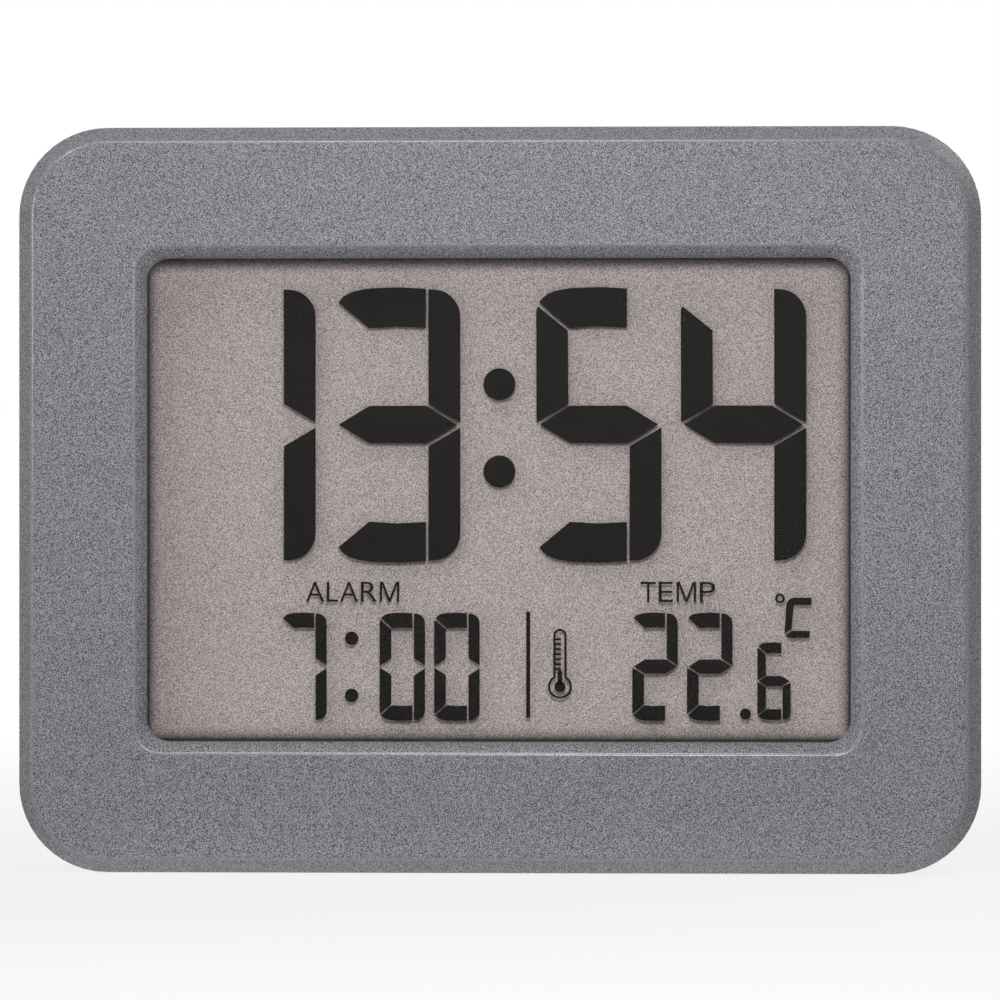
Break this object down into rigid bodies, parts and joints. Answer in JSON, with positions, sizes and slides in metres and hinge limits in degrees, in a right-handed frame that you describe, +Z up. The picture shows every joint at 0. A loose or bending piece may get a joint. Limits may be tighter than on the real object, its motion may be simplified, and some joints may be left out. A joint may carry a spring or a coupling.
{
  "type": "alarm clock",
  "caption": "Upright digital alarm clock with a bevelled display window, fold-out stand, rear keys, alarm slider, snooze bar and battery bay.",
  "frame": {"origin": "middle of the footprint, on the surface that the clock stands on", "axes": "+X to the right as the display is read, +Y from the display towards the back, +Z up"},
  "size_m": [0.13, 0.027, 0.1012],
  "materials": {
    "case_grey": "moulded grey plastic with a fine grain",
    "key_grey": "moulded dark grey plastic",
    "window_clear": "clear polished acrylic",
    "polariser_film": "clear smooth film",
    "lcd_glass": "clear flat glass",
    "gasket_black": "matt black foam rubber",
    "segment_black": "dark liquid crystal film",
    "reflector_taupe": "satin reflective film",
    "strip_grey": "conductive rubber",
    "holder_white": "moulded white plastic",
    "board_green": "lacquered fibreglass board",
    "resin_black": "cast black resin",
    "tinned_steel": "bright tinned steel",
    "buzzer_brass": "rolled brass",
    "buzzer_ceramic": "fired ceramic with a silvered face",
    "cell_sleeve": "plain printed sleeve",
    "lead_red": "flexible insulation",
    "lead_black": "flexible insulation",
    "switch_black": "moulded black plastic",
    "sensor_brown": "dipped resin"
  },
  "bodies": {
    "case": {"front_case": "case_grey", "rear_cover": "case_grey", "display_window": "window_clear", "front_polariser": "polariser_film", "lcd_front_glass": "lcd_glass", "lcd_rear_glass": "lcd_glass", "window_gasket": "gasket_black", "segment_layer": "segment_black", "reflector_film": "reflector_taupe", "contact_strip_upper": "strip_grey", "contact_strip_lower": "strip_grey", "lcd_holder": "holder_white", "circuit_board": "board_green", "driver_chip": "resin_black", "case_screw_1": "tinned_steel", "case_screw_2": "tinned_steel", "case_screw_3": "tinned_steel", "case_screw_4": "tinned_steel", "board_screw_1": "tinned_steel", "board_screw_2": "tinned_steel", "board_screw_3": "tinned_steel", "board_screw_4": "tinned_steel", "quartz_crystal": "tinned_steel", "link_plate": "tinned_steel", "negative_plate": "tinned_steel", "positive_plate": "tinned_steel", "negative_spring": "tinned_steel", "link_spring": "tinned_steel", "buzzer_plate": "buzzer_brass", "buzzer_ceramic": "buzzer_ceramic", "battery_left": "cell_sleeve", "battery_right": "cell_sleeve", "buzzer_lead_middle": "lead_red", "battery_lead_red": "lead_red", "buzzer_lead_rim": "lead_black", "battery_lead_black": "lead_black", "mode_switch": "switch_black", "plus_switch": "switch_black", "minus_switch": "switch_black", "snooze_switch": "switch_black", "alarm_switch": "switch_black", "filter_capacitor": "switch_black", "bypass_capacitor": "sensor_brown", "temperature_sensor": "sensor_brown"},
    "snooze": {"snooze_bar": "case_grey", "snooze_plunger": "key_grey"},
    "mode": {"mode_key": "key_grey", "mode_plunger": "key_grey"},
    "plus": {"plus_key": "key_grey", "plus_plunger": "key_grey"},
    "minus": {"minus_key": "key_grey", "minus_plunger": "key_grey"},
    "alarm": {"alarm_slider": "key_grey", "alarm_lever": "key_grey"},
    "stand": {"stand_leg": "case_grey"},
    "door": {"battery_door": "case_grey"}
  },
  "joints": [
    {"name": "snooze_press", "type": "slide", "parent": "case", "child": "snooze", "axis": [0, 0, -1], "range_m": [0, 0.0006], "stiffness_N_per_m": 300, "springref_m": -0.001},
    {"name": "mode_press", "type": "slide", "parent": "case", "child": "mode", "axis": [0, -1, 0], "range_m": [0, 0.0006], "stiffness_N_per_m": 300, "springref_m": -0.001},
    {"name": "plus_press", "type": "slide", "parent": "case", "child": "plus", "axis": [0, -1, 0], "range_m": [0, 0.0006], "stiffness_N_per_m": 300, "springref_m": -0.001},
    {"name": "minus_press", "type": "slide", "parent": "case", "child": "minus", "axis": [0, -1, 0], "range_m": [0, 0.0006], "stiffness_N_per_m": 300, "springref_m": -0.001},
    {"name": "alarm_slide", "type": "slide", "parent": "case", "child": "alarm", "axis": [1, 0, 0], "range_m": [0, 0.004]},
    {"name": "stand_fold", "type": "hinge", "parent": "case", "child": "stand", "pos_m": [0, 0.0121, 0.0564], "axis": [1, 0, 0], "range_deg": [0, 30]},
    {"name": "door_swing", "type": "hinge", "parent": "case", "child": "door", "pos_m": [0.03525, 0.0135, 0.0158], "axis": [-1, 0, 0], "range_deg": [0, 75]}
  ]
}
